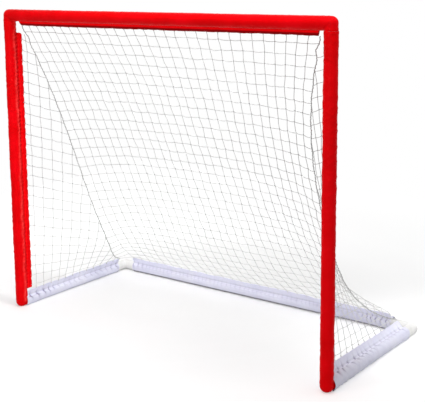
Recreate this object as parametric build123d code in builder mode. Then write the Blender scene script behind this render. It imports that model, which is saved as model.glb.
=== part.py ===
"""Street-hockey goal: a loop of push-fit plastic tubes in sewn fabric sleeves, with a square-mesh net.

Millimetres. X runs across the goal mouth, Y from the mouth to the back, Z up. The origin is on the
floor, midway between the posts and under the middle of the goal's depth.
"""

import os
from math import cos, radians, sin

from build123d import *

# ---------------------------------------------------------------- overall size, over the sleeves
goal_width = 1372.0          # outer side of one post sleeve to outer side of the other
goal_height = 1118.0         # floor to the top of the crossbar sleeve
goal_depth = 610.0           # centre line of the posts to the back of the rear bar sleeve

# ---------------------------------------------------------------- tube frame
tube_diameter = 38.1
tube_wall = 2.4
tube_end_gap = 0.3           # between two tubes, or between a tube and an elbow's shoulder
elbow_arm = 55.0             # from the corner of the centre lines to the shoulder
spigot_length = 38.0         # the part of an elbow that pushes into a tube
coupler_length = 90.0        # hidden sleeve that joins two half tubes
push_fit_clearance = 0.15    # radial, between a spigot or coupler and the tube's bore
insert_wall = 2.2            # wall of spigots and couplers
spigot_chamfer = 1.0

# ---------------------------------------------------------------- fabric sleeves
sleeve_cloth = 0.8
sleeve_clearance = 0.15      # radial, between the tube and its sleeve
floor_flat = 0.3             # how far the cloth flattens where it rests on the floor
boot_hem_gap = 6.0           # from the back of a post sleeve to the start of the side bar sleeve
side_sleeve_bare_end = 62.0  # bare length at the rear elbow, from its corner, along the side bar
rear_sleeve_bare_end = 72.0  # the same, along the rear bar
hem_length = 2.0             # of the hood below the crossbar, and of the boot behind the post
hem_gap = 0.3                # between the crossbar's hoods and the post sleeves

# The two edges of each sleeve are sewn together as a flap, and the net is sewn to the flap's edge
red_flap_width = 22.0        # beyond the tube, on the posts and crossbar
white_flap_width = 28.5      # beyond the tube, on the bars along the floor
crossbar_flap_angle = 66.0   # below level, turning back
post_flap_angle = 55.0       # back from the plane of the mouth
floor_flap_angle = 62.0      # above level, turning towards the inside
crossbar_flap_end_gap = 18.0  # from the post sleeve to the end of the crossbar's flap
post_flap_top_gap = 44.0     # from the crossbar sleeve down to the post's flap
post_flap_floor_gap = 2.0    # from the height of the floor flaps up to the post's flap
flap_hem_setback = 18.0      # from the end of a floor sleeve to the end of its flap

# ---------------------------------------------------------------- net
net_cord_diameter = 2.0
seam_cord_diameter = 5.0
cord_clearance = 0.25        # between crossing cords, and between a cord and a flap's edge
cord_end_gap = 0.3           # between the cut end of a cord and the flap's edge it is tied to
meshes_across = 30           # back panel, from seam to seam
meshes_down = 30             # back panel, from the crossbar to the rear bar
side_meshes_down = 25
mesh_pitch = 38.9            # from cord to cord, along a row of a side panel
first_row_share = 0.6        # the first row hangs this share of a mesh below the crossbar flap
row_slack = 0.04             # how much wider the middle of a row lies than its ends
row_curl = 3.0               # how strongly a row curls forward towards the seams
corner_curl = 38.0           # extra curl near the floor, where the rear bar holds the row straight
corner_curl_onset = 10.0     # how late down the panel the extra curl sets in
side_row_dip = 0.035         # share of the seam's length that a side row drops on its way back
weave_angle = 41.0           # above level, the way the back panel's rows stand off its columns
seam_top_inset = 8.0         # from the end of the crossbar's flap to the top of a seam
seam_foot_inset = 30.0       # from the side bar's centre line to the foot of a seam
seam_foot_setback = 42.0     # from the rear flap's edge forward to the foot of a seam

# Way points of the two curves that the back panel hangs in, down its middle and down a seam:
# share of the way down, share of the way back, and for the seam also how far it is pulled inwards
middle_way_points = ((0.22, 0.198), (0.46, 0.388), (0.70, 0.593), (0.88, 0.778))
seam_way_points = ((0.19, 0.098, 66), (0.46, 0.26, 102), (0.73, 0.469, 98), (0.905, 0.669, 68),
                   (0.965, 0.79, 28))

# A cord is a slim prism, and in the back panel it is made of straight runs
net_cord_faces = 4
seam_cord_faces = 6
runs_down = 10                                  # in a cord from the crossbar to the rear bar
row_bends = (0, 0.333, 0.6, 0.8, 0.933, 1)      # shares of the way from the middle to a seam

# ---------------------------------------------------------------- sizes that follow
tube_radius = tube_diameter / 2
bore_radius = tube_radius - tube_wall
insert_radius = bore_radius - push_fit_clearance
sleeve_bore_radius = tube_radius + sleeve_clearance
sleeve_radius = sleeve_bore_radius + sleeve_cloth
flap_thickness = 2 * sleeve_cloth
post_x = goal_width / 2 - sleeve_radius
crossbar_z = goal_height - sleeve_radius
floor_bar_z = sleeve_radius - floor_flat
mouth_y = -(goal_depth - sleeve_radius) / 2
rear_y = mouth_y + goal_depth - sleeve_radius
net_cord_radius = net_cord_diameter / 2
seam_cord_radius = seam_cord_diameter / 2

os.makedirs("parts", exist_ok=True)


def save(node, name):
    """Label a finished piece and write its STEP file."""
    node.part.label = name
    export_step(node.part, f"parts/{name}.step")


def swing(first, second, angle, reach):
    """Offset of the given reach, turned by the angle from the first direction to the second."""
    return first * (reach * cos(radians(angle))) + second * (reach * sin(radians(angle)))


# ================================================================ frame
left, right = -1, 1
ACROSS, BACK, UP = Vector(1, 0, 0), Vector(0, 1, 0), Vector(0, 0, 1)


def top_corner(side):
    return Vector(side * post_x, mouth_y, crossbar_z)


def front_corner(side):
    return Vector(side * post_x, mouth_y, floor_bar_z)


def rear_corner(side):
    return Vector(side * post_x, rear_y, floor_bar_z)


def bar_plane(start, way):
    """A plane square to a bar that leaves the point start in the direction way."""
    return Plane(origin=start, z_dir=way)


def add_mitred_arm(corner, way, next_way, bore, outline):
    """One arm of a hollow corner, rounded off by a ball and cut on the mitre with the next arm.

    The outline gives the outside as points of distance from the corner and radius, starting with
    the straight stretch that leaves the ball.
    """
    radius, length = outline[0][1], outline[-1][0]
    with BuildPart(mode=Mode.PRIVATE) as arm:
        with BuildSketch(Plane(origin=corner, x_dir=way, z_dir=way.cross(next_way))):
            with BuildLine():
                Polyline((0, radius), *outline, (length, bore), (0, bore))
                CenterArc((0, 0), bore, 90, 90)
                Line((-bore, 0), (-radius, 0))
                CenterArc((0, 0), radius, 90, 90)
            make_face()
        revolve(axis=Axis(corner, way))
        split(bisect_by=Plane(origin=corner, z_dir=way - next_way), keep=Keep.TOP)
    add(arm.part)


def write_elbow(name, corner, ways):
    """Two-way elbow: a ball corner, two arms as thick as the tubes, and a spigot on each arm."""
    full_arm = elbow_arm + spigot_length
    outline = [
        (elbow_arm, tube_radius),
        (elbow_arm, insert_radius),
        (full_arm - spigot_chamfer, insert_radius),
        (full_arm, insert_radius - spigot_chamfer),
    ]
    with BuildPart() as elbow:
        add_mitred_arm(corner, ways[0], ways[1], insert_radius - insert_wall, outline)
        add_mitred_arm(corner, ways[1], ways[0], insert_radius - insert_wall, outline)
    save(elbow, name)


def write_tube(name, start, end):
    """Plain cut length of tube between two points on its centre line."""
    span = end - start
    with BuildPart() as tube:
        with BuildSketch(bar_plane(start, span.normalized())):
            Circle(tube_radius)
            Circle(bore_radius, mode=Mode.SUBTRACT)
        extrude(amount=span.length)
    save(tube, name)


def write_coupler(name, middle, way):
    """Hidden coupler that holds two half tubes in line."""
    with BuildPart() as coupler:
        with BuildSketch(bar_plane(middle, way)):
            Circle(insert_radius)
            Circle(insert_radius - insert_wall, mode=Mode.SUBTRACT)
        extrude(amount=coupler_length / 2, both=True)
    save(coupler, name)


def write_bar(name, half_names, start_corner, end_corner):
    """A bar of two half tubes and a coupler, between two elbows."""
    way = (end_corner - start_corner).normalized()
    start = start_corner + way * (elbow_arm + tube_end_gap)
    end = end_corner - way * (elbow_arm + tube_end_gap)
    middle = (start + end) * 0.5
    write_tube(f"{name}_tube_{half_names[0]}", start, middle - way * (tube_end_gap / 2))
    write_tube(f"{name}_tube_{half_names[1]}", middle + way * (tube_end_gap / 2), end)
    write_coupler(f"{name}_coupler", middle, way)


side_names = {left: "left", right: "right"}
write_bar("crossbar", ("left", "right"), top_corner(left), top_corner(right))
write_bar("rear_bar", ("left", "right"), rear_corner(left), rear_corner(right))
for side, side_name in side_names.items():
    inward = ACROSS * -side
    write_bar(f"{side_name}_post", ("lower", "upper"), front_corner(side), top_corner(side))
    side_bar_start = front_corner(side) + BACK * (elbow_arm + tube_end_gap)
    side_bar_end = rear_corner(side) - BACK * (elbow_arm + tube_end_gap)
    write_tube(f"{side_name}_side_bar_tube", side_bar_start, side_bar_end)
    write_elbow(f"{side_name}_top_elbow", top_corner(side), (inward, -UP))
    write_elbow(f"{side_name}_front_elbow", front_corner(side), (UP, BACK))
    write_elbow(f"{side_name}_rear_elbow", rear_corner(side), (-BACK, inward))


# ================================================================ sleeves
crossbar_reach = sleeve_radius + red_flap_width
floor_reach = sleeve_radius + white_flap_width
crossbar_flap = swing(BACK, -UP, crossbar_flap_angle, crossbar_reach)
rear_flap = swing(-BACK, UP, floor_flap_angle, floor_reach)


def post_flap(side):
    return swing(ACROSS * -side, BACK, post_flap_angle, crossbar_reach)


def side_bar_flap(side):
    return swing(ACROSS * -side, UP, floor_flap_angle, floor_reach)


def add_flap(start, length, way, flap):
    """The flap: two layers of cloth, from inside the sleeve's wall out to the flap's edge."""
    root = sleeve_radius - sleeve_cloth / 2
    with BuildSketch(Plane(origin=start, x_dir=flap.normalized(), z_dir=way)) as layers:
        with Locations((root, 0)):
            Rectangle(flap.length - root, flap_thickness, align=(Align.MIN, Align.CENTER))
    extrude(layers.sketch, amount=length)


def write_straight_sleeve(name, start, end, flap, flap_start_gap):
    """A sleeve with open ends round a bar on the floor, flattened where it rests."""
    span = end - start
    way = span.normalized()
    with BuildPart() as sleeve:
        with BuildSketch(bar_plane(start, way)):
            Circle(sleeve_radius)
            Circle(sleeve_bore_radius, mode=Mode.SUBTRACT)
        extrude(amount=span.length)
        add_flap(start + way * flap_start_gap, span.length - flap_start_gap, way, flap)
        split(bisect_by=Plane.XY, keep=Keep.TOP)
    save(sleeve, name)


def write_crossbar_sleeve():
    """The crossbar's sleeve, which closes over both top elbows like a hood."""
    hood = sleeve_radius + hem_length
    flap_inset = sleeve_radius + crossbar_flap_end_gap
    with BuildPart() as sleeve:
        for side in side_names:
            corner, inward = top_corner(side), ACROSS * -side
            add_mitred_arm(corner, inward, -UP, sleeve_bore_radius, [(post_x, sleeve_radius)])
            add_mitred_arm(corner, -UP, inward, sleeve_bore_radius, [(hood, sleeve_radius)])
        add_flap(top_corner(left) + ACROSS * flap_inset, 2 * (post_x - flap_inset), ACROSS, crossbar_flap)
    save(sleeve, "crossbar_sleeve")


def write_post_sleeve(side):
    """A post's sleeve, which closes over the front elbow like a boot and rests on the floor."""
    foot = front_corner(side)
    boot = sleeve_radius + hem_length
    height = top_corner(side).Z - boot - hem_gap - foot.Z
    flap_base = floor_bar_z + floor_flap_height + post_flap_floor_gap
    flap_top = crossbar_z - sleeve_radius - post_flap_top_gap
    with BuildPart() as sleeve:
        add_mitred_arm(foot, UP, BACK, sleeve_bore_radius, [(height, sleeve_radius)])
        add_mitred_arm(foot, BACK, UP, sleeve_bore_radius, [(boot, sleeve_radius)])
        add_flap(Vector(foot.X, foot.Y, flap_base), flap_top - flap_base, UP, post_flap(side))
        split(bisect_by=Plane.XY, keep=Keep.TOP)
    save(sleeve, f"{side_names[side]}_post_sleeve")


floor_flap_height = side_bar_flap(left).Z
side_sleeve_start = sleeve_radius + boot_hem_gap
write_crossbar_sleeve()
for side, side_name in side_names.items():
    write_post_sleeve(side)
    write_straight_sleeve(
        f"{side_name}_side_bar_sleeve",
        front_corner(side) + BACK * side_sleeve_start,
        rear_corner(side) - BACK * side_sleeve_bare_end,
        side_bar_flap(side), flap_hem_setback,
    )
write_straight_sleeve(
    "rear_bar_sleeve",
    rear_corner(left) + ACROSS * rear_sleeve_bare_end,
    rear_corner(right) - ACROSS * rear_sleeve_bare_end,
    rear_flap, 0,
)


# ================================================================ net
# The net hangs from the edges of the flaps, and its seams and its middle sag as hanging chains do.
# It is worked out relative to the middle of the mouth, on a coarse grid of straight-sided patches,
# so that every cord is made of straight runs and crosses the others at an even distance.


def beyond(flap, gap):
    """From a bar's centre line to a gap beyond its flap's edge."""
    return flap.normalized() * (flap.length + gap)


crossbar_edge = Vector(0, mouth_y, crossbar_z) + beyond(crossbar_flap, cord_end_gap)
rear_edge = Vector(0, rear_y, floor_bar_z) + beyond(rear_flap, cord_end_gap)
crossbar_flap_end_x = post_x - sleeve_radius - crossbar_flap_end_gap
sag_depth = rear_edge.Y - crossbar_edge.Y
sag_height = crossbar_edge.Z - rear_edge.Z


def sagged(down, back, x):
    return Vector(x, crossbar_edge.Y + back * sag_depth, crossbar_edge.Z - down * sag_height)


middle_curve = Spline(
    crossbar_edge,
    *[sagged(down, back, 0) for down, back in middle_way_points],
    rear_edge,
)
seam_curve = Spline(
    crossbar_edge + ACROSS * (crossbar_flap_end_x - seam_top_inset),
    *[sagged(down, back, crossbar_flap_end_x - pull) for down, back, pull in seam_way_points],
    rear_edge + ACROSS * (post_x - seam_foot_inset) - BACK * seam_foot_setback,
)


def along(curve, share):
    """The point at a share of a curve's length."""
    return curve.position_at(share * curve.length, position_mode=PositionMode.LENGTH)


def blend(start, end, share):
    return start + (end - start) * share


def between(knots, position):
    """Straight-line reading of a list of points at a fractional index."""
    low = min(int(position), len(knots) - 2)
    return blend(knots[low], knots[low + 1], position - low)


# ---------------------------------------------------------------- grid of the back panel
def sagging_point(share_out, down):
    """A point of the back panel, between its middle (0) and its seam (1)."""
    middle, seam = along(middle_curve, down), along(seam_curve, down)
    curl = share_out ** (row_curl + corner_curl * down ** corner_curl_onset)
    slack = 1 + row_slack * (1 - curl) * (1 - down ** corner_curl_onset)
    height_and_depth = blend(middle, seam - ACROSS * seam.X, curl)
    return height_and_depth + ACROSS * (seam.X * share_out * slack)


bend_lines = {
    bend: [sagging_point(bend, run / runs_down) for run in range(runs_down + 1)]
    for bend in row_bends
}
seam_knots = bend_lines[1]


def back_point(share_out, down):
    """A point of the back panel, from the left seam (-1) to the right one (1)."""
    side = left if share_out < 0 else right
    outer = next(bend for bend in row_bends[1:] if bend >= abs(share_out))
    inner = row_bends[row_bends.index(outer) - 1]
    inner_point = between(bend_lines[inner], down * runs_down)
    outer_point = between(bend_lines[outer], down * runs_down)
    point = blend(inner_point, outer_point, (abs(share_out) - inner) / (outer - inner))
    return Vector(side * point.X, point.Y, point.Z)


# ---------------------------------------------------------------- cords
def cord(points, radius, faces):
    """A cord of straight runs through the points, as a slim prism that bends at each of them."""
    chord = points[-1] - points[0]
    with BuildPart(mode=Mode.PRIVATE) as run:
        for point in points:
            with BuildSketch(Plane(origin=point, z_dir=chord)):
                RegularPolygon(radius, faces)
        loft(ruled=True)
    return run.part.solid()


def write_cords(name, routes, radius, faces):
    """A node of separate cords."""
    with BuildPart() as group:
        add([cord(route, radius, faces) for route in routes], mode=Mode.REPLACE)
    save(group, name)


edge_gap = net_cord_radius + cord_clearance
weave_gap = net_cord_diameter + cord_clearance
seam_gap = seam_cord_radius + weave_gap
behind_back_panel = swing(BACK, UP, weave_angle, weave_gap)


def seam_draw_back(row_way, seam_share):
    """How far a row ends before the seam's centre line, so that it clears the seam cord."""
    run = min(int(seam_share * runs_down), runs_down - 1)
    seam_way = seam_knots[run + 1] - seam_knots[run]
    return seam_gap / sin(radians(row_way.get_angle(seam_way)))


# ---------------------------------------------------------------- back panel
back_cords = []
for cord_number in range(1, meshes_across):
    share_out = 2 * cord_number / meshes_across - 1
    back_cords.append([back_point(share_out, run / runs_down) for run in range(runs_down + 1)])
all_bends = sorted({side * bend for bend in row_bends for side in side_names})
for row in range(meshes_down):
    down = (row + first_row_share) / meshes_down
    points = [back_point(bend, down) for bend in all_bends]
    last_mesh = points[-1] - points[-2]
    seam_share = 1 - seam_draw_back(last_mesh, down) / last_mesh.length
    points[0] = blend(points[1], points[0], seam_share)
    points[-1] = blend(points[-2], points[-1], seam_share)
    back_cords.append([point + behind_back_panel for point in points])
write_cords("back_net_panel", back_cords, net_cord_radius, net_cord_faces)


# ---------------------------------------------------------------- side panels
def mirrored(point, side):
    return Vector(side * point.X, point.Y, point.Z)


post_edge = top_corner(right) + beyond(post_flap(right), edge_gap)
floor_edge = front_corner(right) + beyond(side_bar_flap(right), edge_gap)
side_top = Vector(post_edge.X, post_edge.Y, post_edge.Z - sleeve_radius - post_flap_top_gap)
side_foot = Vector(post_edge.X, post_edge.Y, floor_edge.Z)


def side_row(share):
    """The two ends of a row of the right-hand side panel: at the post's flap and at the seam."""
    seam_share = side_row_dip + (1 - side_row_dip) * share
    return blend(side_top, side_foot, share), between(seam_knots, seam_share * runs_down)


def side_row_share(row):
    return (row + first_row_share) / side_meshes_down


def side_row_length(share):
    """How far back a row of the side panel reaches, clear of the seam cord."""
    at_post, at_seam = side_row(share)
    row_way = at_seam - at_post
    return row_way.length - seam_draw_back(row_way, side_row_dip + (1 - side_row_dip) * share)


def column_top(reach):
    """The share of the way down at which a column that stands this far back meets the seam."""
    low, high = 0.0, 1.0
    while high - low > 1e-6:
        middle = (low + high) / 2
        if side_row_length(middle) < reach:
            low = middle
        else:
            high = middle
    return high


def side_point(reach, share):
    """A point of the side panel, this far back from the post's flap."""
    at_post, at_seam = side_row(share)
    return at_post + (at_seam - at_post).normalized() * reach


side_cords = []
row_shares = [side_row_share(row) for row in range(side_meshes_down)]
for share in row_shares:
    at_post, at_seam = side_point(0, share), side_point(side_row_length(share), share)
    outwards = (at_seam - at_post).cross(-UP).normalized() * weave_gap
    side_cords.append([at_post + outwards, at_seam + outwards])
for column in range(round(side_row_length(1) / mesh_pitch)):
    reach = (column + 0.5) * mesh_pitch
    top_share = column_top(reach)
    shares = [top_share, *[share for share in row_shares if share > top_share], 1]
    side_cords.append([side_point(reach, share) for share in shares])

for side, side_name in side_names.items():
    routes = [[mirrored(point, side) for point in route] for route in side_cords]
    seam_route = [mirrored(point, side) for point in seam_knots]
    write_cords(f"{side_name}_side_net_panel", routes, net_cord_radius, net_cord_faces)
    write_cords(f"{side_name}_seam_cord", [seam_route], seam_cord_radius, seam_cord_faces)
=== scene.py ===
"""Looks of the street-hockey goal: wrinkled cloth sleeves, a knotted net, laced seams, plastic tubes.

Metres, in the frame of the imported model: X across the mouth, Y from the mouth to the back, Z up,
with the origin on the floor under the middle of the goal.
"""
import math
from collections import namedtuple

import bpy
import numpy as np
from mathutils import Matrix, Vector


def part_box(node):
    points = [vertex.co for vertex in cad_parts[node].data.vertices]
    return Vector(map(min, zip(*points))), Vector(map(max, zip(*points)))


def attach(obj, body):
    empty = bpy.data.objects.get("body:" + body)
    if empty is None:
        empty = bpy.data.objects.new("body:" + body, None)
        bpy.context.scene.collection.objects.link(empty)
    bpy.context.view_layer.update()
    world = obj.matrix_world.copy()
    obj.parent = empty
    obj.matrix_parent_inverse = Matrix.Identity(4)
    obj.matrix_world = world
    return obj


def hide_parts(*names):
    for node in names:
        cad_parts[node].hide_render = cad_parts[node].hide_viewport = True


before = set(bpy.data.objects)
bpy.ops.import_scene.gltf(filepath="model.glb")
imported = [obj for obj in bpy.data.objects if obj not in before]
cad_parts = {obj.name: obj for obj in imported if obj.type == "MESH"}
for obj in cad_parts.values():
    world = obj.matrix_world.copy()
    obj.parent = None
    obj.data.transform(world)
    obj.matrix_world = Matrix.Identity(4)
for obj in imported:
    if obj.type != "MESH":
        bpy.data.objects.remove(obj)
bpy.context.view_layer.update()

# ======== driving sizes
sleeve_radius = 0.0200        # outside of the cloth round a tube
cloth_thickness = 0.0004
floor_clearance = 0.0002
hood_overhang, boot_overhang, post_top_gap = 0.002, 0.0008, 0.0023  # where sleeves meet
rear_end_overhang = 0.012     # how far the rear bar's sleeve starts beyond its box
side_bar_lap = 0.0024         # how much wider a side bar's sleeve is round the post
calm_share, calm_reach = 0.65, 0.008  # how much flatter the cloth is round a corner
hem_swell = 0.0006            # how much thicker the hem at an open end is
hem_length = 0.008
flap_half_thickness = 0.0009  # two layers of cloth sewn together
flap_root_swell, flap_root_length = 0.0046, 0.0022  # how much fuller a flap is beside the tube
flap_corner = 0.009           # radius of a flap's two corners
red_flap_width = 0.022
white_flap_width = 0.0285
crossbar_flap_angle = 66      # below level, turning back
post_flap_angle = 55          # back from the plane of the mouth
floor_flap_angle = 62         # above level, turning towards the inside
crossbar_flap_end_gap = 0.018
post_flap_top_gap = 0.044
post_flap_floor_gap = 0.002
flap_hem_setback = 0.004
ring_pitch = 0.0018           # between a sleeve's rings of points
stitch_length, stitch_gap, stitch_radius, stitch_lift = 0.0032, 0.0014, 0.00030, 0.0002
first_stitch = 0.002
lap_length = 0.03             # how far a side bar's sleeve reaches before it lies close
mitre_length = 0.05           # how far from a corner the rings still lean with the mitre
contact_shade_height = 0.009           # how far up the rear bar's cloth the painted contact shadow reaches

net_cord_radius = 0.0009
seam_cord_radius = 0.0013
lacing_radius, lacing_turns = 0.0006, 90
lacing_pull, lacing_pull_near_top = 0.0012, 0.006
meshes_across, meshes_down, side_meshes_down = 30, 30, 25
mesh_pitch = 0.0389
first_row_share = 0.6
knot_size = 0.00058           # of one unit of the knot's formula
strands_per_mesh = 4          # straight bits of cord between two knots
mesh_wander = 0.0009          # how far a knot strays from the even grid
mesh_stagger = 0.0009         # how far neighbouring knots step to either side of a cord's line
strand_sag, strand_bow = 0.0016, 0.0005
seam_clearance = 0.004        # the least gap from a side panel's knot to the seam
tie_inset, tie_size = 0.0008, (0.0030, 0.0019)  # a tie's centre from the flap's edge, and half its size

# Shape of the hanging net, as in the solid model
row_slack, row_curl, corner_curl, corner_curl_onset = 0.04, 3.0, 38.0, 10.0
side_row_dip = 0.035
seam_top_inset, seam_foot_inset, seam_foot_setback = 0.008, 0.030, 0.042
middle_way_points = ((0.22, 0.198), (0.46, 0.388), (0.70, 0.593), (0.88, 0.778))
seam_way_points = (
    (0.19, 0.098, 0.066), (0.46, 0.26, 0.102), (0.73, 0.469, 0.098), (0.905, 0.669, 0.068),
    (0.965, 0.79, 0.028),
)

floor_reach = 2.2
floor_glow_middle = (-0.25, 0.15, 0.0)
floor_glow = ((0.0, 0.12), (0.13, 0.13), (0.23, 0.18), (0.30, 0.24), (0.41, 0.37), (0.52, 0.44), (1.0, 0.56))

camera_place, camera_lens, camera_shift = (2.0286, -2.6813, 1.2289), 81.85, -0.1294
camera_heading, camera_dip, camera_tip = 36.75, 9.94, -0.45

ACROSS, BACK, UP = np.eye(3)
LEFT, RIGHT = -1, 1
SIDES = {LEFT: "left", RIGHT: "right"}


def middle_of(node):
    """Centre of a CAD node's box."""
    low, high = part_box(node)
    return (np.array(low) + np.array(high)) / 2


post_x = middle_of("right_post_tube_lower")[0]
mouth_y, crossbar_z = middle_of("crossbar_tube_left")[1:]
rear_y, floor_bar_z = middle_of("rear_bar_tube_left")[1:]


def corner_of(side, y, z):
    return np.array([side * post_x, y, z])


def swing(first, second, angle, reach=1.0):
    """Vector of the given reach, turned by an angle in degrees from one direction to another."""
    turn = math.radians(angle)
    return reach * (first * math.cos(turn) + second * math.sin(turn))


def unit(vectors):
    return vectors / np.linalg.norm(vectors, axis=-1, keepdims=True)


def eased(share):
    """From 0 to 1 with a soft start and a soft end."""
    share = np.clip(share, 0, 1)
    return share * share * (3 - 2 * share)


def runs_of(line):
    """How far along a line each of its points lies."""
    return np.concatenate([[0], np.cumsum(np.linalg.norm(np.diff(line, axis=0), axis=1))])


def points_at(reached, runs, line):
    """Points of a line at the distances reached along it."""
    return np.stack([np.interp(reached, runs, line[:, k]) for k in range(3)], -1)


def mirrored(points, side):
    return np.asarray(points) * [side, 1, 1]


# ======== meshes
def new_object(name, data):
    thing = bpy.data.objects.new(name, data)
    bpy.context.scene.collection.objects.link(thing)
    return thing


def mesh_piece(name, bits, slot, finish=None, rise=None):
    """A mesh object that rides on the goal, from its points, four-sided faces and cloth coordinates.

    rise tells its material how far up a fold (1) or down between folds (-1) each point lies, for the
    highlight it paints on the folds and the shade it paints between them.
    """
    points, quads, uv = bits
    mesh = bpy.data.meshes.new(name)
    mesh.vertices.add(len(points))
    mesh.vertices.foreach_set("co", np.asarray(points, np.float32).ravel())
    mesh.loops.add(quads.size)
    mesh.loops.foreach_set("vertex_index", quads.ravel().astype(np.int32))
    mesh.polygons.add(len(quads))
    mesh.polygons.foreach_set("loop_start", np.arange(0, quads.size, 4, dtype=np.int32))
    mesh.polygons.foreach_set("use_smooth", np.full(len(quads), True))
    layer = mesh.uv_layers.new(name="cloth")
    layer.data.foreach_set("uv", np.asarray(uv, np.float32)[quads.ravel()].ravel())
    if rise is not None:
        heights = mesh.attributes.new("rise", "FLOAT", "POINT")
        heights.data.foreach_set("value", rise.astype(np.float32).ravel())
    mesh.update(calc_edges=True)
    mesh.validate()
    piece = new_object(name, mesh)
    piece.data.materials.append(finishes[finish or slot])
    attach(piece, "root")
    return piece


def grid_quads(rows, columns):
    """Faces of a grid of points whose columns close into a loop."""
    near = np.arange(rows * columns).reshape(rows, columns)
    here, there = near[:-1], near[1:]
    return np.stack([here, np.roll(here, -1, 1), np.roll(there, -1, 1), there], -1).reshape(-1, 4)


def cap_quads(ring):
    """Faces that close a ring with an even number of points."""
    return np.array([[ring[0], ring[i], ring[i + 1], ring[i + 2]] for i in range(1, len(ring) - 1, 2)])


def tube(path, radius, sides, closed=False):
    """Points, faces and cloth coordinates of a round cord along a path of points."""
    path = np.asarray(path, float)
    ways = np.roll(path, -1, 0) - np.roll(path, 1, 0)
    if not closed:
        ways[0], ways[-1] = path[1] - path[0], path[-1] - path[-2]
    ways = unit(ways)
    guide = UP if abs(ways.mean(0)[2]) < 0.6 else ACROSS
    if closed:
        guide = unit(np.cross(path[0] - path.mean(0), path[len(path) // 4] - path.mean(0)))
    side_ways = unit(np.cross(ways, guide))
    up_ways = np.cross(side_ways, ways)
    turns = np.arange(sides) * 2 * math.pi / sides
    cosines, sines = np.cos(turns)[:, None], np.sin(turns)[:, None]
    points = path[:, None] + radius * (cosines * side_ways[:, None] + sines * up_ways[:, None])
    uv = np.stack(np.broadcast_arrays(runs_of(path)[:, None], turns[None] * radius), -1)
    first = np.arange(sides)
    last = first + (len(path) - 1) * sides
    if closed:
        ends = [np.stack([last, np.roll(last, -1), np.roll(first, -1), first], -1)]
    else:
        ends = [cap_quads(first[::-1]), cap_quads(last)]
    quads = np.concatenate([grid_quads(len(path), sides), *ends])
    return points.reshape(-1, 3), quads, uv.reshape(-1, 2)


def joined(bits):
    """Several lots of points, faces and cloth coordinates as one."""
    starts = np.cumsum([0] + [len(points) for points, _, _ in bits[:-1]])
    points = np.concatenate([points for points, _, _ in bits])
    quads = np.concatenate([quads + start for (_, quads, _), start in zip(bits, starts)])
    uv = np.concatenate([uv for _, _, uv in bits])
    return points, quads, uv


def scattered(template, places, frames):
    """Copies of one small mesh at many places, each turned by its own three axes."""
    points, quads, uv = template
    copies = np.einsum("pk,nkc->npc", points, frames) + places[:, None]
    starts = np.arange(len(places))[:, None, None] * len(points)
    return copies.reshape(-1, 3), (quads[None] + starts).reshape(-1, 4), np.tile(uv, (len(places), 1))


def patchy(x, y, seed):
    """Smooth noise from 0 to 1 over the plane, with about one bump in each unit square."""
    table = np.random.default_rng(seed).random((64, 64))
    x, y = np.broadcast_arrays(x, y)
    column, row = np.floor(x).astype(int), np.floor(y).astype(int)
    right, up = eased(x - column), eased(y - row)
    column, row, next_column, next_row = column % 64, row % 64, (column + 1) % 64, (row + 1) % 64
    low = table[column, row] * (1 - right) + table[next_column, row] * right
    high = table[column, next_row] * (1 - right) + table[next_column, next_row] * right
    return low * (1 - up) + high * up


def creased(x, y, seed):
    """Noise from 0 to 1 whose high places are narrow ridges, like creases in cloth."""
    return (1 - np.abs(2 * patchy(x, y, seed) - 1)) ** 3


# ======== sleeves
FLAP_SHARES = np.array([0.05, 0.11, 0.19, 0.30, 0.42, 0.55, 0.68, 0.80, 0.90, 0.97])
CREASE = math.radians(26)     # half the angle round the tube at which the cloth leaves it

Folds = namedtuple("Folds", "crease pucker wave notch long pitch")
Arm = namedtuple("Arm", "start way length flap_span before after place")


def flap_middle(flap_width, tilt, curl):
    """Middle line of a flap's section, the way across it at each of its points, and its tip."""
    fine = np.linspace(0, 1, 201)
    outer = eased((fine - 0.45) / 0.4)
    bend = np.radians(curl * outer - tilt * (1 - outer))
    along = np.cumsum(np.cos(bend)) / 200 * flap_width
    aside = np.cumsum(np.sin(bend)) / 200 * flap_width
    reach, drift, turn = [np.interp(FLAP_SHARES, fine, line) for line in (along, aside, bend)]
    middle = np.stack([sleeve_radius + reach, drift], 1)
    tip = np.array([[sleeve_radius + along[-1], aside[-1]]])
    return reach, middle, np.stack([-np.sin(turn), np.cos(turn)], 1), tip


class Outline:
    """Section of a sleeve: round the tube, out along one face of the flap and back along the other.

    tilt and curl are how far, in degrees, the flap leans forward at its root and back near its edge.
    """

    def __init__(self, flap_width, tilt=0, curl=0):
        self.flap_width = flap_width
        turns = np.linspace(CREASE, 2 * math.pi - CREASE, 57)
        reach, middle, across, tip = flap_middle(flap_width, tilt, curl)
        half = flap_half_thickness + flap_root_swell * np.exp(-reach / flap_root_length)
        half[-1] *= 0.75
        out = middle - half[:, None] * across
        back = (middle + half[:, None] * across)[::-1]
        round_part = sleeve_radius * np.stack([np.cos(turns), np.sin(turns)], 1)
        self.open = np.concatenate([round_part, out, tip, back])
        flap_turns = np.linspace(-CREASE, CREASE, len(self.open) - len(turns) + 2)[1:-1]
        shut = sleeve_radius * np.stack([np.cos(flap_turns), np.sin(flap_turns)], 1)
        self.shut = np.concatenate([round_part, shut])
        self.flap_share = np.concatenate([0 * turns, FLAP_SHARES, [1], FLAP_SHARES[::-1]])
        self.turns = np.concatenate([turns, flap_turns])
        self.girth = runs_of(self.open)
        self.crease_reach = np.minimum(self.turns, 2 * math.pi - self.turns) - CREASE
        self.normals = np.stack([np.cos(self.turns), np.sin(self.turns)], 1)


def turned(vector, way, next_way):
    """A vector square to the first direction, carried round the corner to the next one."""
    along = vector @ next_way
    return vector - along * next_way - along * way


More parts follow.
